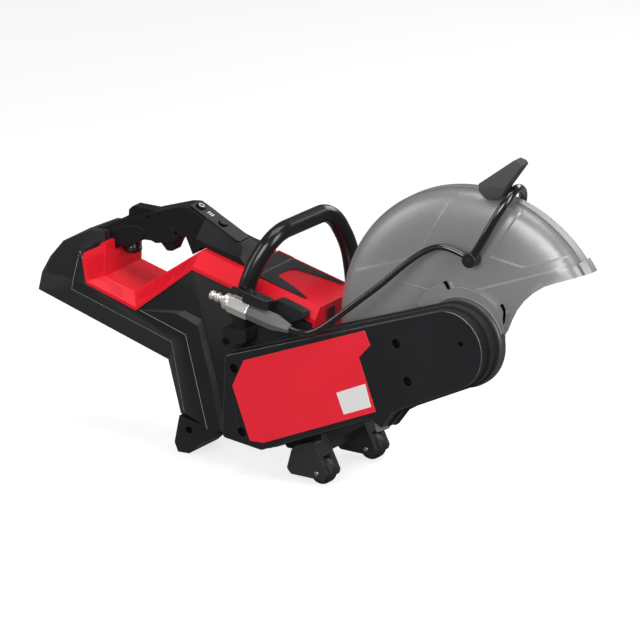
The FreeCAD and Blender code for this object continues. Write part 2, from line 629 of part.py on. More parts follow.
HOSE = [(-217.4, -100, -3.1), (-201, -100, -7.2), (-181, -100, -1), (-155, -97, 19),
        (-127, -90, 43), (-98, -80, 68), (-70, -70, 96), (-42, -61, 117.5), (-17, -58, 121),
        (3.4, -56, 112.1)]
CROSSOVER = [(18, -56, 116.5), (26, -57, 128), (38, -57, 150), (49, -54, 170), (58.5, -46, 188),
             (60.5, -32, 198.5), (58.5, -17, 197), (54, -4, 191.5), (48.5, 11, 183.5),
             (41, 23, 166), (33, 25, 146)]


def fittings():
    """Elbow where the hose meets the guard, and the nozzle stub on the far side."""
    body = new_body("water_fittings")
    discs(body, "elbow", [(12.5, 108.3)], "9.5", "-46.1", "-62")
    discs(body, "nozzle", [(26, 127)], "8", "30", "16.1")


def hoses():
    pipe("main_hose", HOSE, size("hose_r"))
    pipe("crossover_hose", CROSSOVER, size("sleeve_r"))


# --- wheels and feet -------------------------------------------------------------------
def wheels():
    """Two small transport wheels, their forks and pins, the skid between them and the foot."""
    x = size("wheel_x")
    z = size("wheel_z")
    forks = new_body("wheel_forks")
    pins = new_body("axle_pins")
    fork = [(-228, -165, 3), (-221.5, -158.5, 3), (-202, -151.6, 2), (-196.5, -153.5, 3),
            (-178.5, -191, 3), (-180.5, -198.5, 4), (-229, -196, 5), (-234.5, -189, 4)]
    room = [(-212, -176), (-202, -172.5), (-170, -168), (-170, -212), (-212, -212)]
    web = [(-232, -154.7), (-229, -153.9), (-212.5, -131.6), (-203, -131.6, 3), (-195, -157),
           (-232, -164)]
    for side, sign in (("right", -1), ("left", 1)):
        wheel = new_body("wheel_" + side, at=(x, sign * size("wheel_y"), z))
        turned(wheel, "roller", washer(size("axle_r") + 0.06, size("wheel_r"), -size("wheel_half"),
                                       size("wheel_half"), 2.5))
        middle = "@wheel_y" if sign > 0 else "-@wheel_y"
        slab(forks, side + "_cheeks", fork, middle + " + @fork_half", middle + " - @fork_half")
        near_and_far = ("57.9", "43") if sign > 0 else ("-43", "-57.9")
        slab(forks, side + "_web", web, *near_and_far)
        slot(forks, side + "_wheel_room", room, middle + " + @wheel_half + 0.4",
             middle + " - @wheel_half - 0.4")
        discs(pins, side + "_pin", [(x, z)], "@axle_r", middle + " + @fork_half + 0.6",
              middle + " - @fork_half - 0.6")
    holes(forks, "pin_holes", [(x, z)], "@axle_r + 0.02", "90", "-90")
    skid = new_body("front_skid")
    slab(skid, "block", [(-262, -161), (-229, -153.9), (-212.5, -131.6), (-200, -131.6, 3),
                         (-194, -160, 3), (-206, -178, 4), (-256, -176, 4)], "42.8", "-42.8")
    foot = new_body("rear_foot")
    slab(foot, "block", [(-413, -159.5), (-354, -173.5), (-352, -176), (-384, -192), (-399, -207),
                         (-415, -207), (-420, -195, 3)], "@foot_half", "-@foot_half")
    holes(foot, "tie_hole", [(-399, -177)], "@foot_hole_r", "60", "-60")


def inner_parts():
    """Battery rails and terminals in the rear bay, and the electronics in the handle base."""
    rails = new_body("battery_rails")
    rail = [(-560, -47.4), (-440, -88.05), (-441.3, -91.8), (-561.3, -51.2)]
    slab(rails, "near_rail", rail, "-8", "-14")
    slab(rails, "far_rail", rail, "14", "8")
    terminal = new_body("terminal_block")
    slab(terminal, "block", [(-436, -93.9), (-431.5, -91.8), (-420, -135), (-432, -132)],
         "14", "-14")
    board = new_body("controller_board")
    slab(board, "case", [(-590, -25), (-480, -62), (-474, -44), (-584, -8)], "24", "-24")


rear_housing("rear_housing_right", True)
rear_housing("rear_housing_left", False)
hood()
hood_panel()
handle_tray()
rear_handle()
grip_sleeve()
controls()
front_handle()
belt_arm()
drive()
guard()
water_kit()
fittings()
hoses()
wheels()
inner_parts()

# --- write ---------------------------------------------------------------------------
NODES = [o for o in doc.Objects if o.TypeId in ("PartDesign::Body", "Part::Feature") and o.Label]
doc.recompute()
for thing in doc.Objects:
    if "Invalid" in thing.State or "Error" in thing.State:
        raise SystemExit("failed: %s %s" % (thing.Label, thing.State))
for node in NODES:
    if node.Shape.isNull() or not node.Shape.isValid():
        raise SystemExit("bad shape: %s" % node.Label)
os.makedirs("parts", exist_ok=True)
for node in NODES:
    node.Shape.exportStep("parts/%s.step" % node.Label)
    print("%-24s solids %d volume %.0f" % (node.Label, len(node.Shape.Solids), node.Shape.Volume))
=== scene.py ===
"""Looks of the cut-off saw: detailed meshes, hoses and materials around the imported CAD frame."""

import json
import math

import bmesh
import bpy
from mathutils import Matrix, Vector
from mathutils.geometry import delaunay_2d_cdt


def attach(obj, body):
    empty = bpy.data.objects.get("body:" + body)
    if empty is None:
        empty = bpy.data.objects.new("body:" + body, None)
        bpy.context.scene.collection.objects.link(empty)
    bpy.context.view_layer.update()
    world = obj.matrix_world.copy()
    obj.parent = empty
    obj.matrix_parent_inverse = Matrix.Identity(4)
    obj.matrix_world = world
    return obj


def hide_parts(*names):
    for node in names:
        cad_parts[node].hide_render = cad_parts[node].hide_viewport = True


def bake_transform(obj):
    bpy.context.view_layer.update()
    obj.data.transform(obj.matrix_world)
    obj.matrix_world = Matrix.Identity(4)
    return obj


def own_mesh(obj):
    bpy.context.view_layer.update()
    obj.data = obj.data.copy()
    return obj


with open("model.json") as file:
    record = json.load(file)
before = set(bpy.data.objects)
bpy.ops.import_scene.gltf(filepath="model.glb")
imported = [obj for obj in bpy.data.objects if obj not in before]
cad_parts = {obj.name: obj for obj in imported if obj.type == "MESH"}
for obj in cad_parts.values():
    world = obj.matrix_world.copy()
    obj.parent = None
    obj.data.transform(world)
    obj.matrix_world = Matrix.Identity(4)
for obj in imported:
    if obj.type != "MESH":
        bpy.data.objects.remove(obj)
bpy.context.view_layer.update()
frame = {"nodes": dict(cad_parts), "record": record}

MM = 0.001
RECORD = frame["record"]
BEHAVIOUR = RECORD["behaviour"]
BODY_OF = {node: body for body, nodes in BEHAVIOUR["bodies"].items() for node in nodes}
SLOT_OF = {row["node"]: row["material_slot"] for row in RECORD["subparts"]}
SPINDLE = Vector(next(joint["pos_m"] for joint in BEHAVIOUR["joints"]
                      if joint["name"] == "guard_swing"))


# --- places and outlines ------------------------------------------------------------------
# Places are in millimetres from the middle of the spindle: X forward, Y to the far side,
# Z up. The camera's distance and width, the lamps, the floor and the paints are in metres.
def at(x, y, z):
    """The scene's point for a place given in millimetres from the spindle."""
    return SPINDLE + Vector((x, y, z)) * MM


def from_spindle(point):
    """The place, in millimetres from the spindle, of a point of the scene."""
    return (point - SPINDLE) / MM


def arc(radius, start, stop, steps):
    """Points on a circle about the spindle, from one angle to another."""
    turns = [math.radians(start + (stop - start) * i / steps) for i in range(steps + 1)]
    return [(radius * math.cos(t), radius * math.sin(t)) for t in turns]


def loop_about(x, y, radius, count):
    """A closed loop of points round a centre."""
    turns = [math.tau * i / count for i in range(count)]
    return [(x + radius * math.cos(t), y + radius * math.sin(t)) for t in turns]


def distance_to(line, x, z):
    """Distance from a point to the nearest part of a line."""
    nearest = math.inf
    for (x0, z0), (x1, z1) in zip(line, line[1:]):
        run = Vector((x1 - x0, z1 - z0))
        to = Vector((x - x0, z - z0))
        share = min(max(to.dot(run) / run.length_squared, 0), 1)
        nearest = min(nearest, (to - run * share).length)
    return nearest


def shifted(line, gap):
    """The line moved sideways, its corners mitred."""
    moved = []
    for i, here in enumerate(line):
        before = line[max(i - 1, 0)]
        after = line[min(i + 1, len(line) - 1)]
        coming = Vector((here[0] - before[0], here[1] - before[1]))
        going = Vector((after[0] - here[0], after[1] - here[1]))
        coming = coming.normalized() if i else going.normalized()
        going = going.normalized() if i < len(line) - 1 else coming
        mitre = gap / (1 + coming.dot(going))
        across = Vector((coming.y + going.y, -coming.x - going.x)) * mitre
        moved.append((here[0] + across.x, here[1] + across.y))
    return moved


def inside(outline, x, z):
    """Whether a point is within a closed outline."""
    within = False
    for (x0, z0), (x1, z1) in zip(outline, outline[1:] + outline[:1]):
        if (z0 > z) != (z1 > z) and x < x0 + (x1 - x0) * (z - z0) / (z1 - z0):
            within = not within
    return within


def new_object(name, data):
    """An object linked into the scene."""
    obj = bpy.data.objects.new(name, data)
    bpy.context.scene.collection.objects.link(obj)
    return obj


# --- camera and light ---------------------------------------------------------------------
VIEW_AZIMUTH = math.radians(30)
VIEW_ELEVATION = math.radians(16.5)
VIEW_DISTANCE = 30.0
VIEW_WIDTH = 0.789
VIEW_TARGET = (-232.7, 0, -19.3)
CLIP_RANGE = (0.05, 100)
SENSOR = 36.0

LAMP_TARGET = (0, 0, 0.15)
# name: (place, width, height, watts)
LAMPS = {
    "top_box": ((0.1, -0.2, 2.0), 1.6, 1.2, 18),
    "left_box": ((-1.7, -1.2, 0.9), 0.8, 1.2, 9),
    "right_box": ((1.9, -0.6, 0.9), 0.9, 1.3, 23),
    "front_box": ((0.3, -2.4, 1.1), 1.4, 1.0, 33),
    "back_box": ((0.4, 1.9, 1.2), 1.6, 0.8, 14),
}
WHITE = (1.0, 1.0, 1.0, 1.0)
SKY_STRENGTH = 0.16
FLOOR_SIZE = 12
FLOOR_HEIGHT = -0.0005


def point_at(obj, place, target):
    obj.location = place
    obj.rotation_mode = "QUATERNION"
    obj.rotation_quaternion = (target - place).to_track_quat("-Z", "Y")


def make_camera():
    camera = new_object("camera", bpy.data.cameras.new("camera"))
    target = at(*VIEW_TARGET)
    back = Vector((math.sin(VIEW_AZIMUTH) * math.cos(VIEW_ELEVATION),
                   -math.cos(VIEW_AZIMUTH) * math.cos(VIEW_ELEVATION),
                   math.sin(VIEW_ELEVATION)))
    point_at(camera, target + back * VIEW_DISTANCE, target)
    camera.data.sensor_width = SENSOR
    camera.data.lens = SENSOR * VIEW_DISTANCE / VIEW_WIDTH
    camera.data.clip_start, camera.data.clip_end = CLIP_RANGE
    bpy.context.scene.camera = camera


def make_studio():
    """Soft box lights round the saw, a pale sky and a pale floor."""
    for name, (place, width, height, power) in LAMPS.items():
        lamp = bpy.data.lights.new(name, "AREA")
        lamp.shape = "RECTANGLE"
        lamp.size = width
        lamp.size_y = height
        lamp.energy = power
        obj = new_object(name, lamp)
        obj.visible_camera = False
        point_at(obj, Vector(place), Vector(LAMP_TARGET))
    world = bpy.data.worlds.new("studio")
    world.use_nodes = True
    sky = world.node_tree.nodes["Background"]
    sky.inputs["Color"].default_value = WHITE
    sky.inputs["Strength"].default_value = SKY_STRENGTH
    bpy.context.scene.world = world
    bpy.context.scene.view_settings.view_transform = "Standard"
    bpy.ops.mesh.primitive_plane_add(size=FLOOR_SIZE, location=(0, 0, FLOOR_HEIGHT))
    floor = bpy.context.active_object
    floor.name = "floor"
    floor.data.materials.append(floor_paint())
    floor.visible_diffuse = False
    floor.visible_glossy = False


# --- materials ----------------------------------------------------------------------------
NOISE_RANGE = (0.35, 0.65)
TINT_RANGE = (0.3, 0.7)
EDGE_HIGHLIGHT_RANGE = (0.53, 0.62)
EDGE_HIGHLIGHT_LIFT = 0.01


def shader(name):
    """A new material, its node tree and its surface node."""
    material = bpy.data.materials.new(name)
    material.use_nodes = True
    tree = material.node_tree
    return material, tree, tree.nodes["Principled BSDF"]


def set_inputs(surface, values):
    for key, value in values.items():
        surface.inputs[key].default_value = value


def noise(tree, scale, detail):
    """Procedural noise in the piece's own coordinates."""
    place = tree.nodes.get("place") or tree.nodes.new("ShaderNodeTexCoord")
    place.name = "place"
    node = tree.nodes.new("ShaderNodeTexNoise")
    set_inputs(node, {"Scale": scale, "Detail": detail})
    tree.links.new(place.outputs["Object"], node.inputs["Vector"])
    return node.outputs["Fac"]


def shade(colour, factor, lift=0.0):
    """The colour made darker or lighter, up to white."""
    return [min(1, c * factor + lift) for c in colour]


def tinted(tree, source, dark, light):
    """A colour that runs from dark to light as the source rises."""
    node = tree.nodes.new("ShaderNodeValToRGB")
    for element, position, colour in zip(node.color_ramp.elements, TINT_RANGE, (dark, light)):
        element.position = position
        element.color = (*colour, 1)
    tree.links.new(source, node.inputs["Fac"])
    return node.outputs["Color"]


def remap(tree, source, low, high, source_range=NOISE_RANGE):
    """The source's range stretched to run from low to high."""
    node = tree.nodes.new("ShaderNodeMapRange")
    set_inputs(node, {"From Min": source_range[0], "From Max": source_range[1],
                      "To Min": low, "To Max": high})
    tree.links.new(source, node.inputs["Value"])
    return node.outputs["Result"]


def bump(tree, surface, height, strength, distance):
    node = tree.nodes.new("ShaderNodeBump")
    set_inputs(node, {"Strength": strength, "Distance": distance})
    tree.links.new(height, node.inputs["Height"])
    tree.links.new(node.outputs["Normal"], surface.inputs["Normal"])


def painted_edge_highlight(tree, base, edge, amount):
    """Paints a highlight on convex edges: mixes the base colour towards a lighter one there."""
    geometry = tree.nodes.new("ShaderNodeNewGeometry")
    mask = remap(tree, geometry.outputs["Pointiness"], 0, amount, EDGE_HIGHLIGHT_RANGE)
    mix = tree.nodes.new("ShaderNodeMix")
    mix.data_type = "RGBA"
    mix.inputs["B"].default_value = (*edge, 1)
    tree.links.new(mask, mix.inputs["Factor"])
    tree.links.new(base, mix.inputs["A"])
    return mix.outputs["Result"]


def moulded(name, colour, rough, grain=900, depth=0.00006, edge=1.8, coat=0.0, shine=0.2):
    """Moulded plastic: fine grain, slightly uneven gloss and a faint painted highlight on convex
    edges.
    """
    material, tree, surface = shader(name)
    broad = noise(tree, 14, 3)
    tint = tinted(tree, broad, shade(colour, 0.9), colour)
    # painted highlight: a lighter colour on convex edges
    paint = painted_edge_highlight(tree, tint, shade(colour, edge, EDGE_HIGHLIGHT_LIFT), 0.7)
    tree.links.new(paint, surface.inputs["Base Color"])
    gloss = remap(tree, broad, rough - 0.04, rough + 0.05)
    tree.links.new(gloss, surface.inputs["Roughness"])
    bump(tree, surface, noise(tree, grain, 2), 0.5, depth)
    set_inputs(surface, {"Specular IOR Level": shine, "Coat Weight": coat, "Coat Roughness": 0.12})
    return material


def painted(name, colour, rough, metallic=0.0, coat=0.0, flow=0.00004, shine=0.25):
    """Painted or cast metal with a faint orange-peel surface and a faint painted highlight on
    convex edges.
    """
    material, tree, surface = shader(name)
    broad = noise(tree, 9, 4)
    tint = tinted(tree, broad, shade(colour, 0.93), colour)
    # painted highlight: a lighter colour on convex edges
    paint = painted_edge_highlight(tree, tint, shade(colour, 1.35, EDGE_HIGHLIGHT_LIFT), 0.6)
    tree.links.new(paint, surface.inputs["Base Color"])
    gloss = remap(tree, broad, rough - 0.03, rough + 0.05)
    tree.links.new(gloss, surface.inputs["Roughness"])
    bump(tree, surface, noise(tree, 420, 2), 0.4, flow)
    set_inputs(surface, {"Metallic": metallic, "Specular IOR Level": shine,
                         "Coat Weight": coat, "Coat Roughness": 0.1})
    return material


def machined(name, colour, rough, lines=700):
    """Turned or laminated metal with fine tool lines."""
    material, tree, surface = shader(name)
    wave = noise(tree, lines, 1)
    tint = tinted(tree, wave, shade(colour, 0.85), colour)
    tree.links.new(tint, surface.inputs["Base Color"])
    gloss = remap(tree, wave, rough - 0.05, rough + 0.06)
    tree.links.new(gloss, surface.inputs["Roughness"])
    bump(tree, surface, wave, 0.25, 0.00003)
    set_inputs(surface, {"Metallic": 1.0})
    return material


def rubber(name, colour, rough, coat=0.0):
    """Fine-grained rubber, glossy where it has a coat."""
    material, tree, surface = shader(name)
    fine = noise(tree, 600, 3)
    tint = tinted(tree, fine, shade(colour, 0.8), colour)
    tree.links.new(tint, surface.inputs["Base Color"])
    gloss = remap(tree, fine, rough - 0.04, rough + 0.06)
    tree.links.new(gloss, surface.inputs["Roughness"])
    bump(tree, surface, fine, 0.3, 0.00005)
    set_inputs(surface, {"Coat Weight": coat, "Coat Roughness": 0.08})
    return material


def floor_paint():
    """A pale floor that glows a little, so that it stays near white."""
    material, tree, surface = shader("pale_floor")
    tint = tinted(tree, noise(tree, 2, 2), (0.39, 0.39, 0.39), (0.41, 0.41, 0.41))
    tree.links.new(tint, surface.inputs["Base Color"])
    set_inputs(surface, {"Roughness": 0.9, "Specular IOR Level": 0.1,
                         "Emission Color": WHITE, "Emission Strength": 0.75})
    return material


# one paint for each material slot of the record
PAINTS = {
    "housing_black": moulded("housing_plastic", (0.017, 0.0175, 0.0185), 0.42),
    "cover_red": moulded("red_plastic", (0.72, 0.006, 0.02), 0.36, depth=0.00003, edge=1.1),
    "grip_black": moulded("grip_plastic", (0.01, 0.01, 0.011), 0.5, grain=700, depth=0.0001,
                          shine=0.15),
    "panel_black": moulded("panel_plastic", (0.01, 0.01, 0.011), 0.36),
    "arm_black": painted("arm_paint", (0.014, 0.0145, 0.016), 0.4),
    "badge_red": painted("badge_print", (0.86, 0.02, 0.04), 0.4, coat=0.1),
    "guard_grey": painted("guard_paint", (0.3, 0.302, 0.305), 0.36, metallic=0.4, shine=0.45),
    "lever_grey": moulded("lever_plastic", (0.066, 0.066, 0.07), 0.5),
    "tube_black": painted("tube_paint", (0.008, 0.008, 0.009), 0.28, coat=0.5),
    "hose_black": rubber("hose_rubber", (0.004, 0.004, 0.004), 0.22, coat=1.0),
    "tyre_black": rubber("tyre_rubber", (0.012, 0.012, 0.012), 0.6),
    "nickel": painted("nickel_plate", (0.78, 0.77, 0.73), 0.2, metallic=0.72, flow=0.00001,
                      shine=0.7),
    "coupling_grey": moulded("coupling_plastic", (0.12, 0.12, 0.121), 0.38),
    "steel": machined("turned_steel", (0.55, 0.55, 0.56), 0.28),
    "dark_screws": painted("screw_oxide", (0.01, 0.01, 0.01), 0.35, metallic=0.7),
    "cast_alloy": painted("bare_casting", (0.42, 0.42, 0.42), 0.42, metallic=0.8),
    "motor_parts": machined("motor_laminations", (0.3, 0.24, 0.2), 0.45, lines=300),
    "moulded_grey": moulded("grey_plastic", (0.06, 0.06, 0.065), 0.5),
}
# the lighter paint of a slot's bright rounded edges: a painted highlight
EDGE_HIGHLIGHT_PAINTS = {
    "housing_black": moulded("housing_edge_highlight", (0.34, 0.34, 0.35), 0.32, edge=1.0, shine=0.6),
    "arm_black": painted("arm_edge_highlight", (0.04, 0.04, 0.042), 0.2, shine=0.9),
    "cover_red": moulded("red_edge_highlight", (0.9, 0.05, 0.08), 0.3, depth=0.00003, edge=1.0, shine=0.4),
}
# paints of single faces and small pieces
MARK_PRINT = moulded("mark_print", (0.82, 0.82, 0.8), 0.5, depth=0.00001, edge=1.0)
# dark paint of the guard's hub collar: painted shade
COLLAR_SHADE = painted("collar_painted_shade", (0.06, 0.06, 0.062), 0.35, shine=0.4)
KNOB_BLACK = moulded("knob_plastic", (0.012, 0.012, 0.013), 0.25, depth=0.00002, shine=0.6)
# lighter grey of the band's bevel faces that face forward and up: painted highlight
BAND_BEVEL_HIGHLIGHT = moulded("band_bevel_highlight", (0.036, 0.036, 0.038), 0.42, edge=1.0, shine=0.4)
BOOT_RUBBER = moulded("boot_rubber", (0.006, 0.006, 0.006), 0.34, depth=0.00001, edge=1.0,
                      coat=0.25, shine=0.5)
# near-black paint of thin sheets laid where slots and recesses hold only shade: painted shade
HOLE_SHADE = moulded("hole_shade", (0.001, 0.001, 0.001), 0.8, edge=1.0, shine=0.0)
LUG_FACE = painted("lug_paint", (0.32, 0.32, 0.32), 0.45, metallic=0.2)
# lighter paint of the arm cover's rounded nose at its upper front: painted highlight
NOSE_HIGHLIGHT = painted("nose_highlight", (0.1, 0.1, 0.103), 0.28, shine=0.8)
FORK_PAINT = moulded("fork_plastic", (0.03, 0.03, 0.031), 0.45)


# --- pieces -------------------------------------------------------------------------------
EDGE_WIDTH = 0.8
SHARP_ANGLE = 28  # degrees
HARD_EDGE = 0.2  # radians between the two faces
SAME_PLACE = 2e-6  # metres
FLAT_ANGLE = math.radians(1.2)


def settle(obj, node, slot=None):
    """Gives a piece the material of its slot and the body of the node that it belongs to."""
    slot = slot or SLOT_OF[node]
    if not obj.data.materials:
        obj.data.materials.append(PAINTS[slot])
    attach(obj, BODY_OF[node])
    return obj


def piece_from(builder, name, node, slot=None, replaced=True):
    """A new piece from a filled bmesh, which stands for its node when replaced is true."""
    mesh = bpy.data.meshes.new(name)
    builder.to_mesh(mesh)
    builder.free()
    obj = settle(new_object(name, mesh), node, slot)
    if replaced:
        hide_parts(node)
    return obj


def soften(obj, width, sharp=SHARP_ANGLE, segments=3):
    """Rounds the piece's hard edges and shades the rest smooth."""
    bevel = obj.modifiers.new("rounding", "BEVEL")
    bevel.width = width * MM
    bevel.segments = segments
    bevel.limit_method = "ANGLE"
    bevel.angle_limit = math.radians(sharp)
    bevel.use_clamp_overlap = True
    evaluated = obj.evaluated_get(bpy.context.evaluated_depsgraph_get())
    mesh = bpy.data.meshes.new_from_object(evaluated)
    mesh.name = obj.data.name
    obj.modifiers.clear()
    obj.data = mesh
    mesh.shade_smooth()
    mesh.set_sharp_from_angle(angle=math.radians(sharp + 4))
    weighted = obj.modifiers.new("normals", "WEIGHTED_NORMAL")
    weighted.keep_sharp = True


def finished(node, rounds=(), reshape=None):
    """The CAD node's own shape with rounded edges, as a new piece.

    Each round is (test, millimetres, steps, bright): the convex edges whose two ends pass the
    test are rounded first, and a bright one gets the slot's lighter edge paint, a painted
    highlight.
    """
    builder = bmesh.new()
    builder.from_mesh(frame["nodes"][node].data)
    bmesh.ops.remove_doubles(builder, verts=builder.verts, dist=SAME_PLACE)
    bmesh.ops.dissolve_limit(builder, angle_limit=FLAT_ANGLE, verts=builder.verts,
                             edges=builder.edges)
    if reshape:
        reshape(builder)
    for test, size, steps, bright in rounds:
        chosen = [edge for edge in builder.edges
                  if len(edge.link_faces) == 2 and edge.calc_face_angle() > HARD_EDGE
                  and edge.is_convex and all(test(from_spindle(v.co)) for v in edge.verts)]
        bmesh.ops.bevel(builder, geom=chosen, offset=size * MM, segments=steps, profile=0.5,
                        affect="EDGES", clamp_overlap=True, material=1 if bright else -1)
    obj = piece_from(builder, node + "_shell", node)
    # the second material is the painted highlight of bright rounded edges
    edge_highlight_paint = EDGE_HIGHLIGHT_PAINTS.get(SLOT_OF[node])
    if edge_highlight_paint:
        obj.data.materials.append(edge_highlight_paint)
    soften(obj, EDGE_WIDTH)
    return obj


def paint_where(obj, material, test):
    """Gives the faces whose middle passes the test a paint of their own."""
    obj.data.materials.append(material)
    index = len(obj.data.materials) - 1
    for face in obj.data.polygons:
        if test(from_spindle(face.center), face.normal):
            face.material_index = index


def skin(builder, rings):
    """Closed rings joined into a tube with flat ends."""
    for first, second in zip(rings, rings[1:]):
        for i in range(len(first)):
            j = (i + 1) % len(first)
            builder.faces.new((first[i], first[j], second[j], second[i]))
    builder.faces.new(rings[0])
    builder.faces.new(rings[-1][::-1])
    bmesh.ops.recalc_face_normals(builder, faces=builder.faces)


def prism(name, node, outline, near, far, width=0.3, paint=None, slot=None):
    """A small extra piece: an XZ outline carried from Y = near to Y = far."""
    builder = bmesh.new()
    skin(builder, [[builder.verts.new(at(x, y, z)) for x, z in outline] for y in (near, far)])
    obj = piece_from(builder, name, node, slot, replaced=False)
    soften(obj, width, 25, 2)
    if paint:
        obj.data.materials[0] = paint


# --- cords --------------------------------------------------------------------------------
HOSE = [(-217.4, -100, -3.1), (-201, -100, -7.2), (-181, -100, -1), (-155, -97, 19),
        (-127, -90, 43), (-98, -80, 68), (-70, -70, 96), (-42, -61, 117.5), (-17, -58, 121),
        (3.4, -56, 112.1)]
HOSE_RADIUS = 4
CROSSOVER = [(18, -56, 116.5), (26, -57, 128), (38, -57, 150), (49, -54, 170), (58.5, -46, 188),
             (60.5, -32, 198.5), (58.5, -17, 197), (54, -4, 191.5), (48.5, 11, 183.5),
             (41, 23, 166), (33, 25, 146)]
CROSSOVER_RADIUS = 5.5


def as_mesh(obj):
    """The curve object turned into a mesh object of the same name."""
    evaluated = obj.evaluated_get(bpy.context.evaluated_depsgraph_get())
    mesh = bpy.data.meshes.new_from_object(evaluated)
    name = obj.name
    bpy.data.objects.remove(obj)
    mesh.shade_smooth()
    return new_object(name, mesh)


def hose_along(name, route, radius):
    """A hose on a NURBS curve controlled by the route's points, and its centre line."""
    curve = bpy.data.curves.new(name, "CURVE")
    curve.dimensions = "3D"
    curve.resolution_u = 12
    spline = curve.splines.new("NURBS")
    spline.points.add(len(route) - 1)
    for point, place in zip(spline.points, route):
        point.co = (*at(*place), 1)
    spline.order_u = 3
    spline.use_endpoint_u = True
    obj = new_object(name, curve)
    bpy.context.view_layer.update()
    line = bpy.data.meshes.new_from_object(obj)
    path = [v.co.copy() for v in line.vertices]
    bpy.data.meshes.remove(line)
    curve.bevel_depth = radius * MM
    curve.bevel_resolution = 6
    curve.use_fill_caps = True
    hose = as_mesh(obj)
    hose.data.materials.append(PAINTS["hose_black"])
    return hose, path


def make_hoses():
    hose, path = hose_along("water_hose", HOSE, HOSE_RADIUS)
    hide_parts("main_hose")
    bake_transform(hose)
    crossover, path = hose_along("water_crossover", CROSSOVER, CROSSOVER_RADIUS)
    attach(crossover, "guard")
    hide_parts("crossover_hose")


# --- guard --------------------------------------------------------------------------------
GUARD_MIDDLE = -15
GUARD_RADIUS = 188
GUARD_DEPTH = 31
GUARD_BORE = 18
CROWN_START = 100
CROWN_POWER = 3.2
SHEET = 2.2
# shares of the full depth at which the crowned side has a ring of points
RING_HEIGHTS = (0.997, 0.99, 0.975, 0.95, 0.915, 0.87, 0.81, 0.74, 0.66, 0.56, 0.45, 0.33, 0.2,
                0.08)
# the two sheets' outlines: the shared rim, the edge round the hub and the front edge
RIM = arc(GUARD_RADIUS - 0.05, 33.2, 197.1, 90)
HUB_EDGE = arc(56, -171, 15, 31)
FRONT_EDGE = [(59.1, 21.7), (65.5, 37), (71.9, 49.5), (81.4, 62.4), (94.1, 74.3), (110, 85.2),
              (125.9, 91.9)]
FAR_HUB_EDGE = arc(66, 190.7, 45, 32)
FAR_FRONT_EDGE = [(57, 56), (76, 69), (112, 88), (125.9, 91.9)]
# panels pressed into the near side: visible border, corners beyond the guard, depth inwards
PRESSINGS = [
    ([(5, 229), (-14, 196), (-69, 98.5), (-163, 64.5), (-200, 51)],
     [(-300, 51), (-300, 300), (5, 300)], 0.55),
    ([(200, 146), (149.7, 129.3), (79.8, 105.8), (33.7, 112.7), (41.7, 122.5), (75, 182),
      (100, 227)],
     [(100, 300), (300, 300), (300, 146)], 1.7),
    ([(-20, 54.8), (11.5, 66.4), (125.9, 108.6), (179.9, 125.7), (215, 137)],
     [(215, -50), (-20, -50)], -0.7),
]
PRESS_WIDTH = 2.2
PRESS_ANGLE = math.radians(17)


def crown(radius):
    """How far the guard's side stands out from its middle plane at this radius."""
    share = max(radius - CROWN_START, 0) / (GUARD_RADIUS - CROWN_START)
    return GUARD_DEPTH * max(1 - share ** CROWN_POWER, 0) ** (1 / CROWN_POWER)


def crown_radius(height):
    """The radius at which the crowned side has this share of its full depth."""
    share = (1 - height ** CROWN_POWER) ** (1 / CROWN_POWER)
    return CROWN_START + (GUARD_RADIUS - CROWN_START) * share


def guard_sheet(node, side, outline, pressings):
    """One half of the guard: a crowned pressed sheet with its panels, trimmed to the outline."""
    loops = [(outline, True), (arc(GUARD_BORE, 0, 350, 35), True)]
    loops += [(arc(crown_radius(h), 0, 358, 179), True) for h in RING_HEIGHTS]
    for line, _, _ in pressings:
        loops += [(shifted(line, gap), False) for gap in (-PRESS_WIDTH / 2, PRESS_WIDTH / 2)]
    points = []
    edges = []
    for loop, closed in loops:
        first = len(points)
        points += [Vector(p) for p in loop]
        edges += [(i, i + 1) for i in range(first, len(points) - 1)]
        if closed:
            edges.append((len(points) - 1, first))
    verts, _, faces, *_ = delaunay_2d_cdt(points, edges, [], 0, 1e-4)
    builder = bmesh.new()
    made = []
    for x, z in verts:
        depth = crown(math.hypot(x, z))
        for line, beyond, pressed in pressings:
            within = distance_to(line, x, z) * (1 if inside(line + beyond, x, z) else -1)
            depth -= pressed * min(max(within / PRESS_WIDTH + 0.5, 0), 1)
        made.append(builder.verts.new(at(x, GUARD_MIDDLE + side * depth, z)))
    for face in faces:
        middle = sum((verts[i] for i in face), Vector((0, 0))) / len(face)
        if inside(outline, *middle) and middle.length > GUARD_BORE:
            builder.faces.new([made[i] for i in (face if side > 0 else reversed(face))])
    loose = [v for v in builder.verts if not v.link_faces]
    bmesh.ops.delete(builder, geom=loose, context="VERTS")
    bmesh.ops.recalc_face_normals(builder, faces=builder.faces)
    outward = sum(f.normal.y * f.calc_area() for f in builder.faces)
    if outward * side < 0:
        bmesh.ops.reverse_faces(builder, faces=builder.faces)
    bmesh.ops.solidify(builder, geom=builder.faces, thickness=SHEET * MM)
    obj = piece_from(builder, node + "_sheet", node)
    soften(obj, 0.4, 60, 2)
    obj.data.set_sharp_from_angle(angle=PRESS_ANGLE)


def make_guard():
    guard_sheet("guard_right_shell", -1, RIM + HUB_EDGE + FRONT_EDGE, PRESSINGS)
    guard_sheet("guard_left_shell", 1, RIM + FAR_HUB_EDGE + FAR_FRONT_EDGE, [])


# --- water valve --------------------------------------------------------------------------
def tilted_axes(angle):
    """The directions along and away from a line that slopes down towards the front."""
    return (Vector((math.cos(angle), 0, -math.sin(angle))),
            Vector((math.sin(angle), 0, math.cos(angle))))


VALVE_AT = (-330, -100, 25)
VALVE_ALONG, VALVE_UP = tilted_axes(math.radians(14))
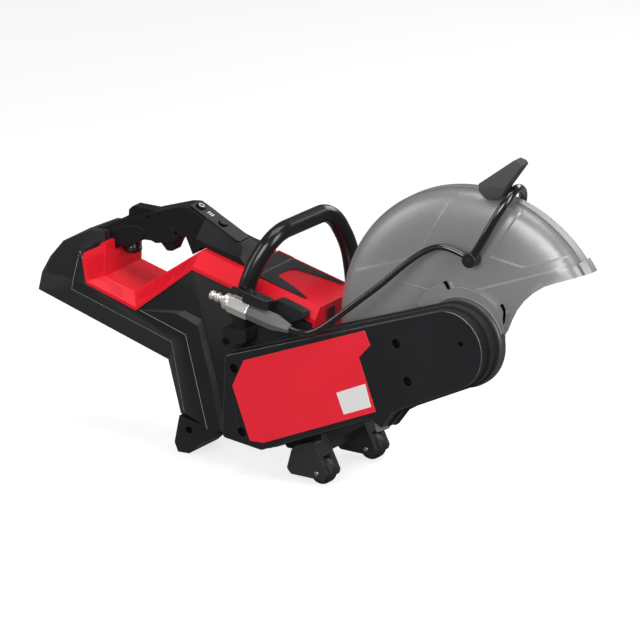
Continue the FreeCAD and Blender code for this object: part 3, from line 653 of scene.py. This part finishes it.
# name: (node, (distance, radius) of each ring, sides)
VALVE_PARTS = {
    "nipple_stem": ("inlet_nipple", [(0, 5.2), (1.5, 5.9), (4.5, 5.9), (5.5, 4.4), (8.5, 4.4),
                                     (9.5, 6.2), (12.5, 6.2), (13.5, 4.4), (16, 4.4), (17, 6.0),
                                     (21, 6.0)], 40),
    "valve_collar": ("valve_body", [(21.05, 9.2), (22, 10.6), (27, 10.6), (28, 9.2)], 40),
    "valve_hex": ("valve_body", [(28, 11.2), (29.2, 12), (56, 12), (57, 11)], 6),
    "coupling_flats": ("valve_coupling", [(57.05, 10.8), (58, 11.4), (94, 11.4), (115, 6),
                                          (116, 5.2)], 8),
}


def make_valve():
    """The valve's bars: rings of flat sides along its sloping axis."""
    for name, (node, stations, sides) in VALVE_PARTS.items():
        builder = bmesh.new()
        rings = [[builder.verts.new(at(*VALVE_AT) + (VALVE_ALONG * distance + VALVE_UP * rise
                                                     + Vector((0, out, 0))) * MM)
                  for out, rise in loop_about(0, 0, radius, sides)]
                 for distance, radius in stations]
        skin(builder, rings)
        soften(piece_from(builder, name, node), 0.35, 25, 2)


# --- small details ------------------------------------------------------------------------
PANEL_AT = (-411, 0, 106.9)
PANEL_ALONG, PANEL_UP = tilted_axes(math.radians(28))
PANEL_FACE = -0.4
BUTTON_FACE = 1.8
MARK_THICK = 0.2
POWER_AT = (10, 0)
BAR_START = 22
BAR_PITCH = 3.2

ELBOW_AT = (12.5, 108.3)
ELBOW_TEETH = [loop_about(*ELBOW_AT, 9.9 if i % 2 else 9.0, 28)[i] for i in range(28)]
# name: (node, XZ outline, near Y, far Y, edge rounding, paint when it is not the slot's own)
EXTRAS = {
    "elbow_ribs": ("water_fittings", ELBOW_TEETH, -61.4, -58.6, 0.3, KNOB_BLACK),
    "elbow_cap": ("water_fittings", loop_about(*ELBOW_AT, 3.4, 24), -62.6, -61.9, 0.3,
                  KNOB_BLACK),
    # the hub slots and plug recess are thin near-black sheets: painted shade
    "hub_slot_upper": ("guard_hub_ring",
                       [(-29.2, 72.9), (-23.8, 75.1), (-20.7, 71.6), (-17.9, 65.4), (-22, 64.3),
                        (-26.1, 69.9)], -52.3, -51.5, 0.1, HOLE_SHADE),
    "hub_slot_front": ("guard_hub_ring",
                       [(51.8, 55.8), (55.8, 57.3), (59.3, 51.3), (60.3, 44.3), (58.7, 33.5),
                        (56.5, 30.9), (55.8, 39.4), (56.5, 47.4)], -52.3, -51.5, 0.1, HOLE_SHADE),
    "cover_plug_shade": ("arm_cover", loop_about(20, 12, 2.7, 24), -94.2, -93.8, 0.1, HOLE_SHADE),
    "lug_face": ("arm_casting",
                 [(-97.8, -100.1), (-89.9, -106.3), (-91.8, -113), (-103.5, -106),
                  (-101.5, -103.2)], -76.5, -75.9, 0.2, LUG_FACE),
    "badge_label": ("badge_plate",
                    [(-154.9, -76.8), (-113.9, -59.1), (-105.4, -87.4), (-144.2, -103.1)],
                    -95, -94.7, 0.1, MARK_PRINT),
    "hose_shield": ("rear_housing_right",
                    [(-268, 14), (-261.5, 17.4), (-250, 23.2), (-241.6, 20.9), (-214, 12.5),
                     (-212, 4.5), (-233.7, -6.4), (-252, -2)], -73, -57.6, 2.0, None),
    "hood_far_edge": ("hood",
                      [(-318, 45), (-318, 46.7), (-296.5, 40.8), (-295.7, 39.8), (-210, 16),
                       (-210, 13.5), (-296, 37.5), (-297, 38.5)], 43.7, 45.6, 0.2, None),
}
SLAT = [(-206.1, 8), (-205.3, 7), (-205.3, -60), (-206.1, -61)]
SLAT_COUNT = 5
SLAT_START = -31
SLAT_PITCH = 4.6
SLAT_WIDTH = 2.2


def panel_mark(name, node, inner, outer, height):
    """A printed mark between two (x, y) loops, a little above the control panel."""
    builder = bmesh.new()
    low, high = [[[builder.verts.new(at(*PANEL_AT) + (PANEL_ALONG * x + Vector((0, y, 0))
                                                      + PANEL_UP * level) * MM)
                   for x, y in loop] for loop in (inner, outer)]
                 for level in (height, height + MARK_THICK)]
    for i in range(len(inner)):
        j = (i + 1) % len(inner)
        builder.faces.new((high[0][i], high[0][j], high[1][j], high[1][i]))
        builder.faces.new((low[0][i], low[1][i], low[1][j], low[0][j]))
        builder.faces.new((low[0][i], low[0][j], high[0][j], high[0][i]))
        builder.faces.new((low[1][i], high[1][i], high[1][j], low[1][j]))
    bmesh.ops.recalc_face_normals(builder, faces=builder.faces)
    obj = piece_from(builder, name, node, "nickel", replaced=False)
    obj.data.materials[0] = MARK_PRINT


def make_details():
    panel_mark("power_ring", "power_button", loop_about(*POWER_AT, 2.6, 32),
               loop_about(*POWER_AT, 3.7, 32), BUTTON_FACE)
    for i in range(3):
        x = BAR_START + BAR_PITCH * i
        outer = [(x, -3.2), (x + 1.5, -3.2), (x + 1.5, 3.2), (x, 3.2)]
        inner = [(x + 0.7, -2.4), (x + 0.8, -2.4), (x + 0.8, 2.4), (x + 0.7, 2.4)]
        panel_mark("panel_bar_%d" % i, "control_panel", inner, outer, PANEL_FACE)
    for name, row in EXTRAS.items():
        prism(name, *row)
    for i in range(SLAT_COUNT):
        y = SLAT_START + SLAT_PITCH * i
        prism("hood_slat_%d" % i, "hood", SLAT, y, y + SLAT_WIDTH, slot="housing_black")


# --- boot and springs of the grip ---------------------------------------------------------
BOOT_AT = (-500.4, 0)
BOOT_RADII = (11.8, 13)
BOOT_POINTS = 40
# (height, share of the full radius)
BOOT_RINGS = ((43.5, 0.8), (40, 0.86), (37.5, 0.94), (36.6, 0.9), (35.8, 0.98), (34, 1.0),
              (31.6, 0.95), (29.8, 0.8), (29.1, 0.55), (28.9, 0.2))

WIRE_RADIUS = 0.35
COIL_RADIUS = 2.1
COIL_GAP = 0.4
TURN_STEPS = 20


def make_boot():
    """The round rubber boot under the rear of the grip, with a groove round it."""
    builder = bmesh.new()
    along, across = BOOT_RADII
    skin(builder, [[builder.verts.new(at(BOOT_AT[0] + along * share * x,
                                         BOOT_AT[1] + across * share * y, height))
                    for x, y in loop_about(0, 0, 1, BOOT_POINTS)]
                   for height, share in BOOT_RINGS])
    boot = piece_from(builder, "grip_boot", "grip_sleeve")
    soften(boot, 0.3, 40, 2)
    boot.data.materials[0] = BOOT_RUBBER


def make_spring(node, x, low, high, turns):
    """A coil spring in the grip, wound from low to high."""
    curve = bpy.data.curves.new(node + "_coil", "CURVE")
    curve.dimensions = "3D"
    curve.bevel_depth = WIRE_RADIUS * MM
    curve.bevel_resolution = 2
    curve.use_fill_caps = True
    spline = curve.splines.new("POLY")
    count = turns * TURN_STEPS
    spline.points.add(count)
    for i, point in enumerate(spline.points):
        turn = math.tau * turns * i / count
        height = low + COIL_GAP + (high - low - 2 * COIL_GAP) * i / count
        point.co = (*at(x + COIL_RADIUS * math.cos(turn), COIL_RADIUS * math.sin(turn), height), 1)
    coil = settle(as_mesh(new_object(node + "_coil", curve)), node)
    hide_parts(node)
    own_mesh(coil)


# --- reshaped nodes -----------------------------------------------------------------------
LEVER_FOLD = 202
LEVER_NEAR_FACE = -44.9
LEVER_SLOPES = (0.25, 0.16)
LEVER_MOST = 5.5
TRAY_CUTS = (-22, -20.8, 20.8, 22)
TRAY_RAISED_FROM = 21.4
TRAY_WALL_X = (-519, -512.5)
TRAY_WALL_Z = 35
TRAY_LIFT = 13.5
BOOT_HALF_WIDTH = 14
LOCK_OFF_FREE_X = -480
LOCK_OFF_DRAW = 0.24


def cut_across(builder, place, direction):
    """Adds an edge line where a plane crosses the mesh."""
    whole = builder.verts[:] + builder.edges[:] + builder.faces[:]
    bmesh.ops.bisect_plane(builder, geom=whole, plane_co=at(*place), plane_no=direction)


def fold_lever(builder):
    """Tilts the guard lever's near face away on both sides of a fold."""
    cut_across(builder, (0, 0, LEVER_FOLD), (0, 0, 1))
    for vert in builder.verts:
        place = from_spindle(vert.co)
        if place.y < LEVER_NEAR_FACE:
            slope = LEVER_SLOPES[place.z > LEVER_FOLD]
            vert.co.y += min(abs(place.z - LEVER_FOLD) * slope, LEVER_MOST) * MM


def raise_tray_wall(builder):
    """Lifts the top of the tray's rear wall on both sides of the grip."""
    for cut in TRAY_CUTS:
        cut_across(builder, (0, cut, 0), (0, 1, 0))
    for vert in builder.verts:
        place = from_spindle(vert.co)
        if (TRAY_WALL_X[0] < place.x < TRAY_WALL_X[1] and place.z > TRAY_WALL_Z
                and abs(place.y) > TRAY_RAISED_FROM):
            vert.co.z += TRAY_LIFT * MM


def drop_boot(builder):
    """Takes the plain boot off the sleeve: make_boot puts a round one in its place."""
    boot = [vert for vert in builder.verts if abs(from_spindle(vert.co).y) < BOOT_HALF_WIDTH]
    bmesh.ops.delete(builder, geom=boot, context="VERTS")


def shorten_lever(builder):
    """Draws the lock-off lever's free end towards its pin."""
    for vert in builder.verts:
        beyond = LOCK_OFF_FREE_X - from_spindle(vert.co).x
        if beyond > 0:
            vert.co.x += beyond * LOCK_OFF_DRAW * MM


# --- all the other nodes ------------------------------------------------------------------
SCREWS = [(-301, -68), (-290, -148), (-71, -2), (-55, -48), (21, 11)]
SCREW_CLEARANCE = 13
BAND_SIDE = 63
HANDLE_SIDE = 58
BAND_OUTER = [(-456, -23.5), (-389, -46), (-358.5, -162.5)]


def clear_of_screws(p):
    return all(math.hypot(p.x - x, p.z - z) > SCREW_CLEARANCE for x, z in SCREWS)


def on_sides(p, width):
    return abs(abs(p.y) - width) < 0.6


def on_band_edge(p):
    return distance_to(BAND_OUTER, p.x, p.z) < 1


def on_hub_collar_shade(p, n):
    return (p.y < -46.3 and 49.5 < math.hypot(p.x, p.z) < 57.5
            and (p.y < -52.3 or abs(n.y) < 0.5))


def on_nose_highlight(p, n):
    return (p.y < -91 and 0.1 < abs(n.y) < 0.97 and p.x > 0 and p.z > -25
            and math.hypot(p.x, p.z) > 36)


# node: edges rounded first, as finished() takes them
# rounds marked True get the slot's painted highlight on their bevel
HOUSING_ROUNDS = [
    (lambda p: on_sides(p, HANDLE_SIDE) and p.x < -390, 1.8, 2, True),
    (lambda p: on_sides(p, BAND_SIDE) and on_band_edge(p), 1.6, 2, True),
    (lambda p: on_sides(p, BAND_SIDE) and not on_band_edge(p), 0.9, 2, False),
]
ROUNDS = {
    "rear_housing_right": HOUSING_ROUNDS,
    "rear_housing_left": HOUSING_ROUNDS,
    "arm_cover": [(lambda p: p.y < -93.5 and clear_of_screws(p), 2.8, 5, True)],
    "arm_casting": [(lambda p: p.y < -75.5 and clear_of_screws(p), 1.2, 3, False)],
    "handle_grip": [(lambda p: abs(p.y) > 17.8, 5.0, 5, False)],
    "grip_sleeve": [(lambda p: abs(p.y) > 17.5, 1.9, 4, False)],
    "wheel_forks": [(lambda p: abs(p.y) > 78.5, 2.2, 4, False)],
    "lock_off_lever": [(lambda p: abs(p.y) > 8.8, 2.0, 4, False)],
}
RESHAPES = {
    "guard_lever": fold_lever,
    "handle_tray": raise_tray_wall,
    "lock_off_lever": shorten_lever,
    "grip_sleeve": drop_boot,
}
# node: (paint, test on the place of a face's middle and on its direction)
FACE_PAINTS = {
    # painted shade: the hub collar darkened
    "guard_hub_ring": (COLLAR_SHADE, on_hub_collar_shade),
    # painted highlight: the band bevel lighter where it faces forward and up
    "rear_housing_right": (BAND_BEVEL_HIGHLIGHT, lambda p, n: -62.8 < p.y < -58.4 and n.x + n.z > 0.2),
    "rear_housing_left": (BAND_BEVEL_HIGHLIGHT, lambda p, n: 58.4 < p.y < 62.8 and n.x + n.z > 0.2),
    "valve_knob": (KNOB_BLACK, lambda p, n: True),
    "water_fittings": (KNOB_BLACK, lambda p, n: True),
    "wheel_forks": (FORK_PAINT, lambda p, n: True),
    # painted highlight on the upper front of the cover's nose
    "arm_cover": (NOSE_HIGHLIGHT, on_nose_highlight),
}
# nodes that only pieces made above stand for
MADE_APART = {"main_hose", "crossover_hose", "guard_right_shell", "guard_left_shell",
              "inlet_nipple", "valve_body", "valve_coupling", "trigger_spring",
              "lock_off_spring"}


def make_shells():
    for node in frame["nodes"]:
        if node not in MADE_APART:
            shell = finished(node, ROUNDS.get(node, ()), RESHAPES.get(node))
            if node in FACE_PAINTS:
                paint_where(shell, *FACE_PAINTS[node])


make_camera()
make_studio()
make_hoses()
make_guard()
make_valve()
make_details()
make_boot()
make_spring("trigger_spring", x=-446.5, low=68.7, high=76.9, turns=6)
make_spring("lock_off_spring", x=-497.5, low=72.6, high=75.6, turns=3)
make_shells()

bpy.context.view_layer.update()
